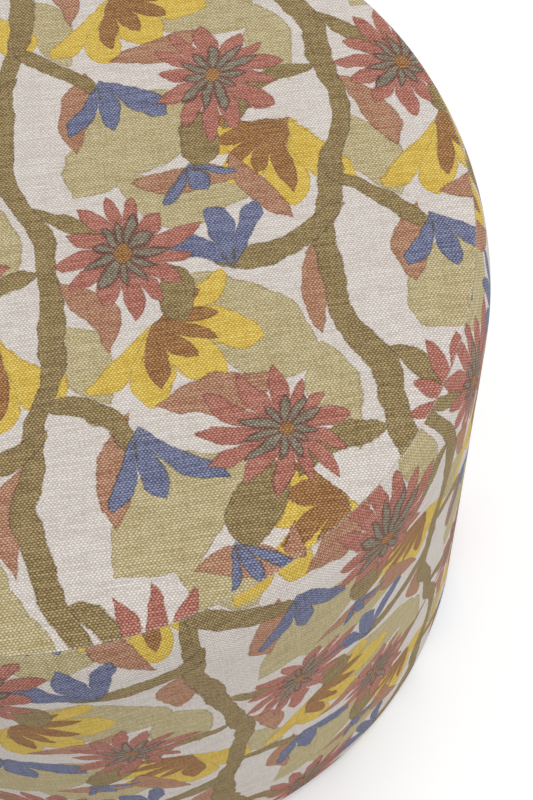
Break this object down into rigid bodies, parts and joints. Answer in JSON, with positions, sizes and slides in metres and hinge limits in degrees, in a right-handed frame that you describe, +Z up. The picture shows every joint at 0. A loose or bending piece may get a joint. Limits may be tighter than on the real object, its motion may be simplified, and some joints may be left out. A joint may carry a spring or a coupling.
{
  "type": "tuffet",
  "caption": "Round upholstered drum footstool: crowned top panel, plain turned seam, padded shoulder, slightly flared side and low glides under the foot.",
  "frame": {"origin": "on the floor, under the middle of the drum", "axes": "+Z up along the drum's axis; -Y is the side nearest the viewer of the picture"},
  "size_m": [0.526, 0.526, 0.4065],
  "materials": {
    "linen": "matt plain-weave printed linen",
    "wadding": "soft white polyester wadding",
    "foam": "open-cell upholstery foam",
    "hardboard": "thin bent hardboard",
    "plywood": "unfinished plywood",
    "pine": "sawn softwood",
    "dust_cloth": "black non-woven cloth",
    "screw_steel": "zinc-plated wood screw",
    "glide_plastic": "moulded plastic"
  },
  "bodies": {
    "root": {"top_cover": "linen", "side_cover": "linen", "wadding_cap": "wadding", "wadding_band": "wadding", "seat_foam": "foam", "side_foam": "foam", "side_skin": "hardboard", "seat_board": "plywood", "base_board": "plywood", "dust_cover": "dust_cloth", "post_1": "pine", "seat_screw_1": "screw_steel", "base_screw_1": "screw_steel", "glide_1": "glide_plastic", "post_2": "pine", "seat_screw_2": "screw_steel", "base_screw_2": "screw_steel", "glide_2": "glide_plastic", "post_3": "pine", "seat_screw_3": "screw_steel", "base_screw_3": "screw_steel", "glide_3": "glide_plastic", "post_4": "pine", "seat_screw_4": "screw_steel", "base_screw_4": "screw_steel", "glide_4": "glide_plastic", "post_5": "pine", "seat_screw_5": "screw_steel", "base_screw_5": "screw_steel", "glide_5": "glide_plastic", "post_6": "pine", "seat_screw_6": "screw_steel", "base_screw_6": "screw_steel", "glide_6": "glide_plastic"}
  },
  "joints": []
}
